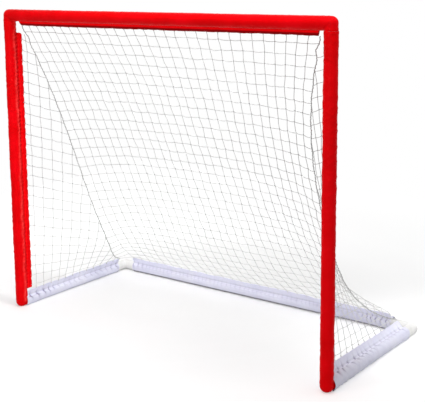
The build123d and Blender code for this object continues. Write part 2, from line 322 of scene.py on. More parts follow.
def stations_of(length, flap_span):
    """Where the rings of an arm stand: evenly, and closer at the two ends of its flap."""
    regular = np.linspace(0, length, max(2, int(length / ring_pitch)))
    if flap_span is None:
        return regular
    edge = np.array([-0.0004, 0, 0.0004, 0.001, 0.002, 0.0035, 0.005])
    extra = np.concatenate([flap_span[0] + edge, flap_span[1] - edge])
    keep = [s for s in regular if min(abs(extra - s)) > 0.0008]
    return np.unique(np.concatenate([keep, extra[(extra > 0) & (extra < length)]]))


def flap_opening(station, flap_span, flap_width):
    """How far out the flap is: nothing beyond its ends, and rounded off at its corners."""
    if flap_span is None:
        return 0.0
    inside = min(station - flap_span[0], flap_span[1] - station)
    if inside < 0:
        return 0.0
    part = min(inside / flap_corner, 1.0)
    return 1 - flap_corner / flap_width * (1 - math.sqrt(1 - (1 - part) ** 2))


def arms_of(route):
    """The arms along a route, each with the ways to its neighbours and its first place."""
    arms, place = [], 0.0
    for number, (start, way, length, flap_span) in enumerate(route):
        before = -route[number - 1][1] if number else None
        after = route[number + 1][1] if number + 1 < len(route) else None
        arms.append(Arm(start, way, length, flap_span, before, after, place))
        place += length + sleeve_radius * math.pi / 2
    return arms


def widened(arm, station, flat, opening, outline, lap):
    """A ring made wider where it laps over a post's sleeve, and thicker in the hem of an open end."""
    widening = lap * max(0, 1 - station / lap_length) * (1 - opening * outline.flap_share)
    flat = flat + outline.normals * widening[:, None]
    in_first_hem = arm.before is None and station < hem_length
    in_last_hem = arm.after is None and arm.length - station < hem_length
    if in_first_hem or in_last_hem:
        flat = flat + outline.normals * hem_swell * (1 - outline.flap_share)[:, None]
    return flat


def shifts_of(arm, station, offset, lap):
    """How far along its arm each point of a ring lies, with a corner's mitre and the cut round a post."""
    shift = np.full(len(offset), station)
    if arm.before is not None:
        shift += np.clip(offset @ arm.before, 0, None) * max(0, 1 - station / mitre_length)
    if arm.after is not None:
        shift -= np.clip(offset @ arm.after, 0, None) * max(0, 1 - (arm.length - station) / mitre_length)
    if lap:
        aside = np.minimum(abs(offset @ ACROSS), 0.9 * sleeve_radius)
        saddle = sleeve_radius - np.sqrt(sleeve_radius**2 - aside**2)
        shift -= saddle * max(0, 1 - station / lap_length)
    return shift


def arm_rings(arm, out_way, outline, folds, seed, gathers, lap):
    """Rings of an arm, each (points, rise, place, opening of the flap), and the last one's offset."""
    side_way = np.cross(arm.way, out_way)
    lies_close = arm.before is not None and arm.flap_span is None
    rings = []
    for station in stations_of(arm.length, arm.flap_span):
        place = arm.place + station
        opening = flap_opening(station, arm.flap_span, outline.flap_width)
        bunching = sum(more * math.exp(-(((place - spot) / reach) ** 2)) for spot, reach, more in gathers)
        calming = calm_share * min(1.0, station / calm_reach) if lies_close else 0.0
        depths = [(1 - calming) * depth for depth in folds[:5]]
        flat, rise = fold_cloth(outline, place, opening, Folds(*depths, folds.pitch), bunching, seed)
        flat = widened(arm, station, flat, opening, outline, lap)
        offset = flat[:, :1] * out_way + flat[:, 1:] * side_way
        shift = shifts_of(arm, station, offset, lap)
        rings.append((arm.start + shift[:, None] * arm.way + offset, rise, place, opening))
    return rings, offset


def corner_rings(arm, offset):
    """Rings from an arm's end to the next arm: mitred on the inside, a quarter of a ball outside."""
    corner = arm.start + arm.way * arm.length
    reach = offset @ arm.after
    rest = offset - reach[:, None] * arm.after
    rings = []
    for turn in np.radians(np.arange(10, 90, 10)):
        ball = math.cos(turn) * arm.after - math.sin(turn) * arm.way
        mitre = np.where(reach[:, None] < 0, ball, arm.after - arm.way)
        place = arm.place + arm.length + turn * sleeve_radius
        rings.append((corner + reach[:, None] * mitre + rest, np.zeros(len(offset)), place, 0.0))
    return rings


def sleeve(name, slot, route, flap_way, outline, folds, seed, gathers=(), finish=None, lap=0.0):
    """A cloth sleeve along a route of arms, each (start, direction, length, where its flap is).

    flap_way is the flap's direction on the first arm. folds gives the depth of the creases round
    the tube, of the puckers along the flap's seam, of the waves in the flap, of the notches that the
    net pulls in its edge and of the long folds that run beside the seam, and then the puckers'
    pitch. gathers lists the places where the cloth is bunched up, each with how far that spreads and
    how much deeper it makes the folds. lap is how much wider the first end is, where it is cut to
    sit round a post and laps over the post's sleeve.
    """
    rings, out_way = [], np.array(flap_way, float)
    arms = arms_of(route)
    for arm in arms:
        straight, offset = arm_rings(arm, out_way, outline, folds, seed, gathers, lap)
        rings += straight
        if arm.after is not None:
            rings += corner_rings(arm, offset)
            out_way = turned(out_way, arm.way, arm.after)
    points, rises, places, opened = [np.array(part) for part in zip(*rings)]
    points[..., 2] = np.maximum(points[..., 2], floor_clearance)
    uv = np.stack(np.broadcast_arrays(places[:, None], outline.girth[None]), -1)
    bits = points.reshape(-1, 3), grid_quads(*points.shape[:2]), uv.reshape(-1, 2)
    piece = mesh_piece(f"{name}_cloth", bits, slot, finish, rises)
    weld = piece.modifiers.new("weld", "WELD")
    weld.merge_threshold = 0.00001
    shell = piece.modifiers.new("cloth", "SOLIDIFY")
    shell.thickness, shell.offset = cloth_thickness, -1
    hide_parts(name)
    seams = sew(name, slot, points, opened, outline)
    return piece


def creases_of(outline, place, depth, seed):
    """How far the cloth round the tube stands out in slanted creases and broad swells."""
    girth = outline.girth
    calm = 0.35 + 0.65 * patchy(place / 0.11, girth / 0.2, seed)
    steep = creased((place + 0.55 * girth) / 0.017, (girth - 0.5 * place) / 0.06, seed + 1)
    flat = creased((place - 0.8 * girth) / 0.023, (girth + 0.4 * place) / 0.07, seed + 2)
    return depth * calm * steep + 0.7 * depth * flat + depth * patchy(place / 0.09, girth / 0.05, seed + 3)


def bulges_of(outline, place, reach, pitch, seed):
    """From 0 between two puckers to 1 on top of one, along the flap's seam."""
    phase = place / pitch + 0.9 * patchy(place / (3 * pitch), 0.5, seed + 4)
    phase = phase + 0.35 * patchy(outline.girth / 0.012, place / pitch, seed + 9) - 0.3 * reach
    return np.abs(np.sin(math.pi * phase)) ** 0.7


def fold_cloth(outline, place, opening, folds, bunching, seed):
    """One ring of a sleeve in the plane across its arm, and how far up its folds each point lies, which the
    material paints as highlight and shade.
    """
    pucker_depth = folds.pucker * (1 + bunching)
    crease_depth = folds.crease * (1 + 0.6 * bunching)
    flat = outline.shut + opening * (outline.open - outline.shut)
    share = outline.flap_share
    reach = np.clip(outline.crease_reach, 0, None)
    bulge = bulges_of(outline, place, reach, folds.pitch, seed)
    pucker_reach = 0.20 + (0.40 + 0.12 * bunching) * patchy(place / 0.013, 5.5, seed + 10)
    near_crease = np.exp(-((reach / pucker_reach) ** 1.5))
    fold_line = 0.16 + 0.50 * patchy(place / 0.022, 9.5, seed + 11)
    long_fold = 0.2 + 0.8 * patchy(place / 0.014, 2.5, seed + 12)
    long_fold = long_fold * np.exp(-(((reach - fold_line) / 0.20) ** 2))
    on_tube = np.where(share > 0, 1 - opening, 1.0)
    near_seam = 1 - opening * np.exp(-reach / 0.05)
    lift = creases_of(outline, place, crease_depth, seed) + pucker_depth * near_crease * bulge
    lift = on_tube * (lift + folds.long * long_fold) * near_seam
    flat = flat + outline.normals * lift[:, None]
    wave = folds.wave * (patchy(place / 0.045, 0.5, seed + 5) - 0.5)
    wave = wave + 0.5 * folds.wave * (patchy(place / 0.019, 3.5, seed + 6) - 0.5)
    ruffle = pucker_depth * np.exp(-share / 0.3) * (bulge - 0.6)
    flat[:, 1] += opening * share**1.4 * wave * 2
    flat[:, 1] += opening * np.clip(share / 0.1, 0, 1) * ruffle
    notch = np.abs(np.cos(math.pi * place / mesh_pitch)) ** 10
    fray = 0.4 * folds.notch * patchy(place / 0.03, 7.5, seed + 8)
    flat[:, 0] -= opening * share**3 * (folds.notch * notch + fray)
    # mask for painted shade between the puckers and painted highlight on their tops and on the long folds
    # beside the seam
    rise = near_crease * (1.8 * bulge - 1.15) * np.exp(-share / 0.25) * min(1.0, pucker_depth / 0.003) ** 2
    rise += on_tube * long_fold * min(1.0, folds.long / 0.0012)
    return flat, np.clip(rise, -1, 1)


def sew(name, slot, rings, opened, outline):
    """Rows of stitches along both faces of a flap: beside the tube, and near its edge."""
    first_face = int(np.argmax(outline.flap_share > 0))
    last_face = first_face + len(FLAP_SHARES) + 1
    shown = np.flatnonzero(opened > 0.98)
    bits = []
    for row, outer in ((first_face + 2, -1), (first_face + 8, -1), (last_face + 1, 1), (last_face + 7, 1)):
        face_way = rings[shown, last_face + 5] - rings[shown, first_face + 4]
        line = rings[shown, row] + outer * stitch_lift * unit(face_way)
        runs = runs_of(line)
        reached = np.arange(first_stitch, runs[-1] - stitch_length, stitch_length + stitch_gap)
        bits += [points_at(reached, runs, line), points_at(reached + stitch_length, runs, line)]
    starts, ends = [np.concatenate(bits[k::2]) for k in range(2)]
    bead = tube([[0, 0, 0], [0.12, 0, 0], [0.5, 0, 0], [0.88, 0, 0], [1, 0, 0]], 1.0, 4)
    bead[0][:, 1:] *= np.repeat([0.35, 0.9, 1, 0.9, 0.35], 4)[:, None]
    ways = ends - starts
    side_ways = unit(np.cross(ways, UP + 0.3 * ACROSS)) * stitch_radius
    up_ways = unit(np.cross(side_ways, ways)) * stitch_radius
    frames = np.stack([ways, side_ways, up_ways], 1)
    stitches = scattered(bead, starts, frames)
    return mesh_piece(f"{name}_stitches", stitches, slot, slot.replace("nylon", "thread"))


crossbar_flap = swing(BACK, -UP, crossbar_flap_angle)
rear_flap = swing(-BACK, UP, floor_flap_angle)


def post_flap(side):
    return swing(-side * ACROSS, BACK, post_flap_angle)


def side_flap(side):
    return swing(-side * ACROSS, UP, floor_flap_angle)


def crossbar_sleeve():
    hood = sleeve_radius + hood_overhang
    left, right = corner_of(LEFT, mouth_y, crossbar_z), corner_of(RIGHT, mouth_y, crossbar_z)
    inset = sleeve_radius + crossbar_flap_end_gap
    route = [
        (left - UP * hood, UP, hood, None),
        (left, ACROSS, 2 * post_x, (inset, 2 * post_x - inset)),
        (right, -UP, hood, None),
    ]
    first_way = turned(crossbar_flap, ACROSS, UP)
    folds = Folds(0.0006, 0.0016, 0.0018, 0.0008, 0.0004, 0.0125)
    # the crossbar's cloth has a painted highlight along the seam, painted light on the flap and painted
    # shade along its edge
    outline, finish = Outline(red_flap_width, 25, 30), "red_nylon_painted_hem_shade"
    return sleeve("crossbar_sleeve", "red_nylon", route, first_way, outline, folds, 10, finish=finish)


def post_sleeve(side):
    foot = corner_of(side, mouth_y, floor_bar_z)
    boot = sleeve_radius + boot_overhang
    height = crossbar_z - sleeve_radius - post_top_gap - floor_bar_z
    flap_reach = sleeve_radius + white_flap_width
    flap_base = flap_reach * side_flap(side)[2] + post_flap_floor_gap
    flap_top = crossbar_z - floor_bar_z - sleeve_radius - post_flap_top_gap
    route = [
        (foot + UP * height, -UP, height, (height - flap_top, height - flap_base)),
        (foot, BACK, boot, None),
    ]
    name = f"{SIDES[side]}_post_sleeve"
    folds = Folds(0.0013, 0.0020, 0.0030, 0.0020, 0.0016, 0.0150)
    outline = Outline(red_flap_width)
    return sleeve(name, "red_nylon", route, post_flap(side), outline, folds, 30 + side)


def side_bar_sleeve(side):
    name = f"{SIDES[side]}_side_bar_sleeve"
    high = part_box(name)[1]
    start = corner_of(side, mouth_y + sleeve_radius + boot_overhang, floor_bar_z)
    length = high.y - start[1]
    route = [(start, BACK, length, (flap_hem_setback, length))]
    folds = Folds(0.0010, 0.0016, 0.0030, 0.0008, 0.0, 0.0300)
    gathers = ((0.05, 0.17 if side == RIGHT else 0.06, 2.0), (length, 0.05, 0.8))
    outline = Outline(white_flap_width)
    flap_way, seed = side_flap(side), 50 + side
    return sleeve(name, "white_nylon", route, flap_way, outline, folds, seed, gathers, lap=side_bar_lap)


def rear_bar_sleeve():
    low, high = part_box("rear_bar_sleeve")
    start = np.array([low.x - rear_end_overhang, rear_y, floor_bar_z])
    length = high.x - start[0]
    route = [(start, ACROSS, length, (0, length))]
    folds = Folds(0.0010, 0.0012, 0.0030, 0.0008, 0.0, 0.0200)
    gathers = ((0.0, 0.05, 1.2), (length - 0.03, 0.07, 3.0))
    outline = Outline(white_flap_width)
    # the rear bar's cloth has a painted contact shadow along the floor
    finish = "contact_shaded_white_nylon"
    return sleeve("rear_bar_sleeve", "white_nylon", route, rear_flap, outline, folds, 70, gathers, finish)


# ======== net
def smooth_curve(points):
    """A smooth curve through the points, read by its share of length."""
    points = np.array(points)
    knots = runs_of(points)
    gaps, count = np.diff(knots), len(points)
    system, drive = np.eye(count), np.zeros((count, 3))
    for k in range(1, count - 1):
        system[k, k - 1 : k + 2] = gaps[k - 1], 2 * (gaps[k - 1] + gaps[k]), gaps[k]
        drive[k] = 6 * ((points[k + 1] - points[k]) / gaps[k] - (points[k] - points[k - 1]) / gaps[k - 1])
    bends = np.linalg.solve(system, drive)
    places = np.linspace(0, knots[-1], 600)
    piece = np.clip(np.searchsorted(knots, places) - 1, 0, count - 2)
    gap = gaps[piece][:, None]
    to_end, from_start = (knots[piece + 1] - places)[:, None], (places - knots[piece])[:, None]
    line = (
        bends[piece] * to_end**3 / (6 * gap)
        + bends[piece + 1] * from_start**3 / (6 * gap)
        + (points[piece] / gap - bends[piece] * gap / 6) * to_end
        + (points[piece + 1] / gap - bends[piece + 1] * gap / 6) * from_start
    )
    runs = runs_of(line)

    def read(share):
        return points_at(share, runs / runs[-1], line)

    return read


crossbar_edge = np.array([0, mouth_y, crossbar_z]) + crossbar_flap * (sleeve_radius + red_flap_width)
rear_edge = np.array([0, rear_y, floor_bar_z]) + rear_flap * (sleeve_radius + white_flap_width)
flap_end_x = post_x - sleeve_radius - crossbar_flap_end_gap


def sagged(down, back, x):
    """A way point, by its shares of the way down and back from the crossbar to the rear bar."""
    y = crossbar_edge[1] + back * (rear_edge[1] - crossbar_edge[1])
    z = crossbar_edge[2] + down * (rear_edge[2] - crossbar_edge[2])
    return np.array([x, y, z])


middle_curve = smooth_curve(
    [crossbar_edge, *[sagged(down, back, 0) for down, back in middle_way_points], rear_edge]
)
seam_top = crossbar_edge + ACROSS * (flap_end_x - seam_top_inset)
seam_foot = rear_edge + ACROSS * (post_x - seam_foot_inset) - BACK * seam_foot_setback
seam_curve = smooth_curve(
    [seam_top, *[sagged(down, back, flap_end_x - pull) for down, back, pull in seam_way_points], seam_foot]
)


def back_surface(share_out, down):
    """Points of the back panel, from the left seam (-1) to the right one (1), and from top to foot."""
    share_out, down = np.broadcast_arrays(share_out, down)
    middle, seam = middle_curve(down), seam_curve(down)
    out = np.abs(share_out)
    curl = out ** (row_curl + corner_curl * down**corner_curl_onset)
    slack = 1 + row_slack * (1 - curl) * (1 - down**corner_curl_onset)
    points = middle + curl[..., None] * (seam - middle)
    points[..., 0] = seam[..., 0] * share_out * slack
    return points


def strand(start, end, sag, bow):
    """Points of one bit of cord from a knot up to the next, hanging a little slack between them."""
    share = np.arange(strands_per_mesh) / strands_per_mesh
    slack = 4 * share * (1 - share)
    line = start + share[:, None] * (end - start)
    return line - slack[:, None] * (sag * UP) + slack[:, None] * bow


def cord_through(knots, chance, sag):
    """A cord through a row of knots, each bit of it hanging with a slack of its own."""
    bits = []
    for start, end in zip(knots[:-1], knots[1:]):
        bow = chance.normal(0, strand_bow, 3)
        bits.append(strand(start, end, sag * chance.uniform(0.1, 1.6), bow))
    return np.concatenate([*bits, knots[-1:]])


def knot_template():
    """A tight knot of net cord, about three times as wide as the cord."""
    turn = np.arange(20) * 2 * math.pi / 20
    over, across = np.sin(turn) + 2 * np.sin(2 * turn), np.cos(turn) - 2 * np.cos(2 * turn)
    line = np.stack([over, across, -1.1 * np.sin(3 * turn)], 1)
    return tube(knot_size * line, net_cord_radius * 0.95, 5, closed=True)


def knots_at(places, ways_along, ways_down, chance):
    """Knots at every crossing of two cords, each twisted a little differently."""
    along, down = unit(ways_along), unit(ways_down)
    twist = chance.uniform(-0.6, 0.6, (len(places), 1))
    first = unit(along + twist * down)
    third = unit(np.cross(first, down))
    second = np.cross(third, first)
    return scattered(knot_template(), places, np.stack([first, second, third], 1))


def flap_tie(end, flap, edge_way, side=RIGHT):
    """A loop of cord through the cloth and round the edge of a flap, where a net cord ends."""
    turn = np.arange(16)[:, None] * 2 * math.pi / 16
    half_length, half_width = tie_size
    line = end - flap * tie_inset + half_length * np.cos(turn) * flap
    line = line + half_width * np.sin(turn) * np.cross(flap, edge_way)
    points, quads, uv = tube(line, net_cord_radius * 0.8, 5, closed=True)
    return mirrored(points, side), quads, uv


def back_net():
    """The back panel: cords down and across, a knot at each crossing, and ties at both flaps."""
    chance = np.random.default_rng(3)
    half = meshes_across // 2
    columns = np.arange(1 - half, half)
    downs = (np.arange(meshes_down) + first_row_share) / meshes_down
    grid = back_surface(columns[:, None] / half, downs[None])
    stagger = np.where((np.arange(len(columns))[:, None] + np.arange(meshes_down)) % 2, 1, -1)
    grid[..., 0] += mesh_stagger * stagger
    grid += chance.normal(0, mesh_wander, grid.shape)
    tops, feet = back_surface(columns / half, 0.0), back_surface(columns / half, 1.0)
    bits = []
    for column in range(len(columns)):
        knots = np.concatenate([tops[column : column + 1], grid[column], feet[column : column + 1]])
        bits.append(tube(cord_through(knots, chance, 0), net_cord_radius, 6))
        bits.append(flap_tie(tops[column], crossbar_flap, ACROSS))
        bits.append(flap_tie(feet[column], rear_flap, ACROSS))
    for row, down in enumerate(downs):
        seams = back_surface(np.array([-1.0, 1.0]), down)
        knots = np.concatenate([seams[:1], grid[:, row], seams[1:]])
        bits.append(tube(cord_through(knots, chance, strand_sag), net_cord_radius, 6))
    along = np.gradient(grid, axis=0).reshape(-1, 3)
    down_ways = np.gradient(grid, axis=1).reshape(-1, 3)
    bits.append(knots_at(grid.reshape(-1, 3), along, down_ways, chance))
    return bits


def side_ends(share):
    """The two ends of a row of the right-hand side panel: at the post's flap and at the seam."""
    flap_tip = corner_of(RIGHT, mouth_y, crossbar_z) + post_flap(RIGHT) * (sleeve_radius + red_flap_width)
    top_z = crossbar_z - sleeve_radius - post_flap_top_gap
    foot_z = rear_edge[2]
    at_post = np.array([flap_tip[0], flap_tip[1], top_z + share * (foot_z - top_z)])
    return at_post, seam_curve(side_row_dip + (1 - side_row_dip) * share)


def side_length(share):
    at_post, at_seam = side_ends(share)
    return np.linalg.norm(at_seam - at_post)


def side_spot(reach, share):
    at_post, at_seam = side_ends(share)
    return at_post + unit(at_seam - at_post) * reach


def side_spots(shares, count, chance):
    """Where a side panel's knots lie, by column from the post and row from the top."""
    spots = {}
    for column in range(count):
        reach = (column + 0.5) * mesh_pitch
        for row, share in enumerate(shares):
            if reach < side_length(share) - seam_clearance:
                stagger = mesh_stagger * (1 if (row + column) % 2 else -1)
                wander = chance.normal(0, mesh_wander, 3)
                spots[column, row] = side_spot(reach, share) + wander + stagger * BACK
    return spots


def side_knots(spots, shares, side, chance):
    """The knots of a side panel, each in line with its row and its column."""
    along, down_ways = [], []
    for (column, row), spot in spots.items():
        at_post, at_seam = side_ends(shares[row])
        along.append(at_seam - at_post)
        down_ways.append(side_spot((column + 0.5) * mesh_pitch, shares[row] + 0.01) - spot)
    return knots_at(*[mirrored(given, side) for given in ([*spots.values()], along, down_ways)], chance)


def side_net(side):
    """A side panel: rows from the post to the seam, and cords that hang from the seam to the floor bar."""
    chance = np.random.default_rng(20 + side)
    shares = (np.arange(side_meshes_down) + first_row_share) / side_meshes_down
    count = round(side_length(1.0) / mesh_pitch)
    spots = side_spots(shares, count, chance)

    def cord(knots, sag):
        return tube(mirrored(cord_through(np.array(knots), chance, sag), side), net_cord_radius, 6)

    bits = []
    for row, share in enumerate(shares):
        at_post, at_seam = side_ends(share)
        in_row = [spots[column, row] for column in range(count) if (column, row) in spots]
        bits.append(cord([at_post, *in_row, at_seam], strand_sag))
        bits.append(flap_tie(at_post, post_flap(RIGHT), UP, side))
    seam_shares = np.linspace(0, 1, 400)
    seam_lengths = np.array([side_length(share) for share in seam_shares])
    for column in range(count):
        reach = (column + 0.5) * mesh_pitch
        top = side_spot(reach, np.interp(reach, seam_lengths, seam_shares))
        hung = [spots[column, row] for row in range(side_meshes_down) if (column, row) in spots]
        foot = side_spot(reach, 1.0)
        bits.append(cord([top, *hung, foot], 0))
        bits.append(flap_tie(foot, side_flap(RIGHT), BACK, side))
    bits.append(side_knots(spots, shares, side, chance))
    return bits


def seam_line(side):
    """Centre line of a seam's cord, pulled to and fro by the lacing, most of all near its top."""
    shares = np.linspace(0, 1, 241)
    line = seam_curve(shares)
    length = np.linalg.norm(np.diff(line, axis=0), axis=1).sum()
    runs = shares * length
    pull = lacing_pull + lacing_pull_near_top * np.exp(-((runs - 0.045) / 0.035) ** 2)
    zigzag = 2 / math.pi * np.arcsin(np.sin(math.pi * runs / mesh_pitch + 0.9))
    line[:, 0] += pull * zigzag * np.clip(runs / 0.02, 0, 1)
    return mirrored(line, side)


def seam_cords(side):
    """The thick cord down a seam, and the thin cord that laces it to both panels."""
    line = seam_line(side)
    bits = [tube(line, seam_cord_radius, 10)]
    shares = np.linspace(0, 1, 1400)
    spine = points_at(shares, np.linspace(0, 1, len(line)), line)
    way = unit(np.gradient(spine, axis=0))
    side_way = unit(np.cross(way, BACK))
    other_way = np.cross(way, side_way)
    turn = shares * 2 * math.pi * lacing_turns * side
    reach = seam_cord_radius + lacing_radius * 0.8
    helix = spine + reach * (np.cos(turn)[:, None] * side_way + np.sin(turn)[:, None] * other_way)
    bits.append(tube(helix, lacing_radius, 6))
    return bits


# ======== materials
def new_material(name):
    material = bpy.data.materials.new(name)
    material.use_nodes = True
    tree = material.node_tree
    return material, tree, tree.nodes["Principled BSDF"]


def fill(tree, node, values):
    """Set each socket of a node to a plain value, or link it to another node's socket."""
    for socket, value in values.items():
        if isinstance(value, bpy.types.NodeSocket):
            tree.links.new(value, node.inputs[socket])
        else:
            node.inputs[socket].default_value = value


def new_node(tree, kind, values):
    node = tree.nodes.new(kind)
    fill(tree, node, values)
    return node


def place_of(tree):
    """Where on the goal a point lies."""
    return tree.nodes.new("ShaderNodeTexCoord").outputs["Object"]


def cloth_of(tree):
    """Where on its cloth or cord a point lies."""
    return tree.nodes.new("ShaderNodeUVMap").outputs["UV"]


def part_of(tree, vector, axis):
    return new_node(tree, "ShaderNodeSeparateXYZ", {"Vector": vector}).outputs[axis]


def noise_of(tree, coords, scale, detail=3.0, stretch=(1, 1, 1), roughness=0.5):
    """Noise over the given coordinates, stretched along some of them."""
    mapping = new_node(tree, "ShaderNodeMapping", {"Vector": coords, "Scale": stretch})
    values = {"Vector": mapping.outputs["Vector"], "Scale": scale, "Detail": detail, "Roughness": roughness}
    return new_node(tree, "ShaderNodeTexNoise", values).outputs["Fac"]


def waves_of(tree, coords, direction, scale):
    wave = new_node(tree, "ShaderNodeTexWave", {"Vector": coords, "Scale": scale, "Distortion": 0.0})
    wave.bands_direction = direction
    return wave.outputs["Fac"]


def greys(stops):
    """Colour stops from stops of (place, shade)."""
    return [(place, (shade, shade, shade)) for place, shade in stops]


def ramp_of(tree, factor, stops):
    """Colour ramp with stops of (place, colour)."""
    ramp = new_node(tree, "ShaderNodeValToRGB", {"Fac": factor})
    while len(ramp.color_ramp.elements) < len(stops):
        ramp.color_ramp.elements.new(0.5)
    for element, (place, colour) in zip(ramp.color_ramp.elements, stops):
        element.position = place
        element.color = (*colour, 1)
    return ramp.outputs["Color"]


def combine(tree, operation, *values):
    """The result of an operation on values, each a socket or a plain number."""
    maths = tree.nodes.new("ShaderNodeMath")
    maths.operation = operation
    fill(tree, maths, dict(enumerate(values)))
    return maths.outputs["Value"]


def bump_of(tree, height, distance, strength, below=None):
    bump = new_node(tree, "ShaderNodeBump", {"Height": height, "Distance": distance, "Strength": strength})
    if below is not None:
        fill(tree, bump, {"Normal": below})
    return bump.outputs["Normal"]


def flap_share_of(tree, cloth, flap_width):
    """From 0 round the tube to 1 at the edge of the flap, by the distance round the cloth."""
    edge = (2 * math.pi - 2 * CREASE) * sleeve_radius + flap_width
    away = combine(tree, "ABSOLUTE", combine(tree, "SUBTRACT", part_of(tree, cloth, "Y"), edge), 0)
    share = combine(tree, "SUBTRACT", 1.0, combine(tree, "DIVIDE", away, flap_width))
    return combine(tree, "MAXIMUM", share, 0.0)


def mixed(tree, factor, first, second, blend="MIX"):
    """Two colours mixed, each either a socket or a plain colour."""
    mix = tree.nodes.new("ShaderNodeMix")
    mix.data_type, mix.blend_type = "RGBA", blend
    first, second = [(*colour, 1) if isinstance(colour, tuple) else colour for colour in (first, second)]
    fill(tree, mix, {"Factor": factor, "A": first, "B": second})
    return mix.outputs["Result"]


def nylon(name, colours, fold_highlight, fold_shade, flap_width, painted_flap_light, roughness, gloss, crumple, soil_and_contact_shade=None):
    """Woven nylon cloth: plain weave, fine crumples, and a colour that varies with the dye.

    The two fold colours are a painted highlight on top of a fold and painted shade down between two folds.
    The flap's stops of (place, shade) paint light and shade from the tube (0) to the edge of the flap (1).
    The last argument is the colour of a painted contact shadow, darker towards the floor where the cloth
    lies.
    """
    material, tree, shader = new_material(name)
    cloth = cloth_of(tree)
    place = place_of(tree)
    dye = noise_of(tree, place, 14, 5)
    colour = ramp_of(tree, dye, [(0.30, colours[0]), (0.50, colours[1]), (0.70, colours[2])])
    # light and shade painted across the sleeve, from the tube to the flap's edge
    shading = ramp_of(tree, flap_share_of(tree, cloth, flap_width), greys(painted_flap_light))
    shaded = mixed(tree, 1.0, colour, shading, "MULTIPLY")
    # painted shade down between folds and painted highlight on top of them, by the rise of each point
    folds = tree.nodes.new("ShaderNodeAttribute")
    folds.attribute_name = "rise"
    rise = folds.outputs["Fac"]
    up = combine(tree, "MAXIMUM", rise, 0.0)
    down = combine(tree, "MAXIMUM", combine(tree, "MULTIPLY", rise, -1.0), 0.0)
    shaded = mixed(tree, down, shaded, fold_shade)
    shaded = mixed(tree, up, shaded, fold_highlight)
    # painted contact shadow: the cloth darker towards the floor, where it lies on it
    if soil_and_contact_shade:
        height = combine(tree, "DIVIDE", part_of(tree, place, "Z"), contact_shade_height)
        shade = ramp_of(tree, height, [(0.35, soil_and_contact_shade), (1.0, (1, 1, 1))])
        shaded = mixed(tree, 1.0, shaded, shade, "MULTIPLY")
    warp, weft = waves_of(tree, cloth, "X", 420), waves_of(tree, cloth, "Y", 420)
    weave = combine(tree, "MAXIMUM", warp, weft)
    crumples = noise_of(tree, cloth, 55, 4, (1.0, 0.45, 1), 0.6)
    rub = noise_of(tree, cloth, 9, 2, (1, 0.6, 1))
    normal = bump_of(tree, crumples, 0.0016, crumple)
    normal = bump_of(tree, rub, 0.003, crumple * 0.6, normal)
    normal = bump_of(tree, weave, 0.00012, 0.35, normal)
    patches = combine(tree, "MULTIPLY_ADD", noise_of(tree, place, 30, 3), 0.18, roughness - 0.09)
    looks = {"Base Color": shaded, "Normal": normal, "Roughness": patches, "Specular IOR Level": gloss}
    fill(tree, shader, looks)
    return material


def thread(name, dark, light):
    """Fine sewing thread in the colour of its cloth."""
    material, tree, shader = new_material(name)
    colour = ramp_of(tree, noise_of(tree, place_of(tree), 1500, 3), [(0.35, dark), (0.65, light)])
    fill(tree, shader, {"Base Color": colour, "Roughness": 0.7, "Specular IOR Level": 0.05})
    return material


def twine(name, colours, twist_scale):
    """Twisted polyester cord: slanted strands as bump and as painted shade in their grooves, greyer higher
    up and paler lower down as painted light from the floor.
    """
    material, tree, shader = new_material(name)
    place = place_of(tree)
    strands = waves_of(tree, cloth_of(tree), "DIAGONAL", twist_scale)
    fuzz = noise_of(tree, place, 900, 2)
    soil_and_contact_shade = noise_of(tree, place, 5, 3)
    dirt_and_painted_floor_light = combine(tree, "MULTIPLY_ADD", soil_and_contact_shade, 0.3, 0.5)
    # paler towards the floor: painted light from the floor
    dirt_and_painted_floor_light = combine(tree, "MULTIPLY_ADD", part_of(tree, place, "Z"), -1.2, dirt_and_painted_floor_light)
    shade = combine(tree, "MULTIPLY_ADD", strands, 0.2, dirt_and_painted_floor_light)
    colour = ramp_of(tree, shade, [(-0.0, colours[0]), (0.40, colours[1])])
    normal = bump_of(tree, strands, 0.0004, 0.8)
    normal = bump_of(tree, fuzz, 0.0002, 0.4, normal)
    fill(tree, shader, {"Base Color": colour, "Normal": normal, "Roughness": 0.85, "Sheen Weight": 0.2})
    return material


def plastic_finish():
    """White plastic tube and fittings: satin, with faint drawing lines, scuffs and handling marks."""
    material, tree, shader = new_material("plastic")
    place = place_of(tree)
    cloudy = noise_of(tree, place, 22, 5)
    colour = ramp_of(tree, cloudy, [(0.32, (0.70, 0.70, 0.69)), (0.62, (0.84, 0.84, 0.83))])
    scuffs = noise_of(tree, place, 180, 3, (0.15, 1, 1))
    rough = combine(tree, "MULTIPLY_ADD", scuffs, 0.25, 0.28)
    normal = bump_of(tree, scuffs, 0.0003, 0.25)
    fill(tree, shader, {"Base Color": colour, "Roughness": rough, "Normal": normal})
    return material


def floor_material():
    """White floor that shows as white, more so away from the rear bar, and keeps the goal's shadow."""
    material, tree, shader = new_material("floor")
    tree.nodes.remove(shader)
    diffuse = new_node(tree, "ShaderNodeBsdfDiffuse", {"Color": (0.75, 0.75, 0.75, 1)})
    distance = tree.nodes.new("ShaderNodeVectorMath")
    distance.operation = "DISTANCE"
    fill(tree, distance, {0: place_of(tree), 1: floor_glow_middle})
    far = combine(tree, "DIVIDE", distance.outputs["Value"], floor_reach)
    strength = combine(tree, "MULTIPLY", seen_directly(tree), ramp_of(tree, far, greys(floor_glow)))
    glow = new_node(tree, "ShaderNodeEmission", {"Strength": strength})
    lights = {0: diffuse.outputs["BSDF"], 1: glow.outputs["Emission"]}
    both = new_node(tree, "ShaderNodeAddShader", lights)
    fill(tree, tree.nodes["Material Output"], {"Surface": both.outputs["Shader"]})
    return material


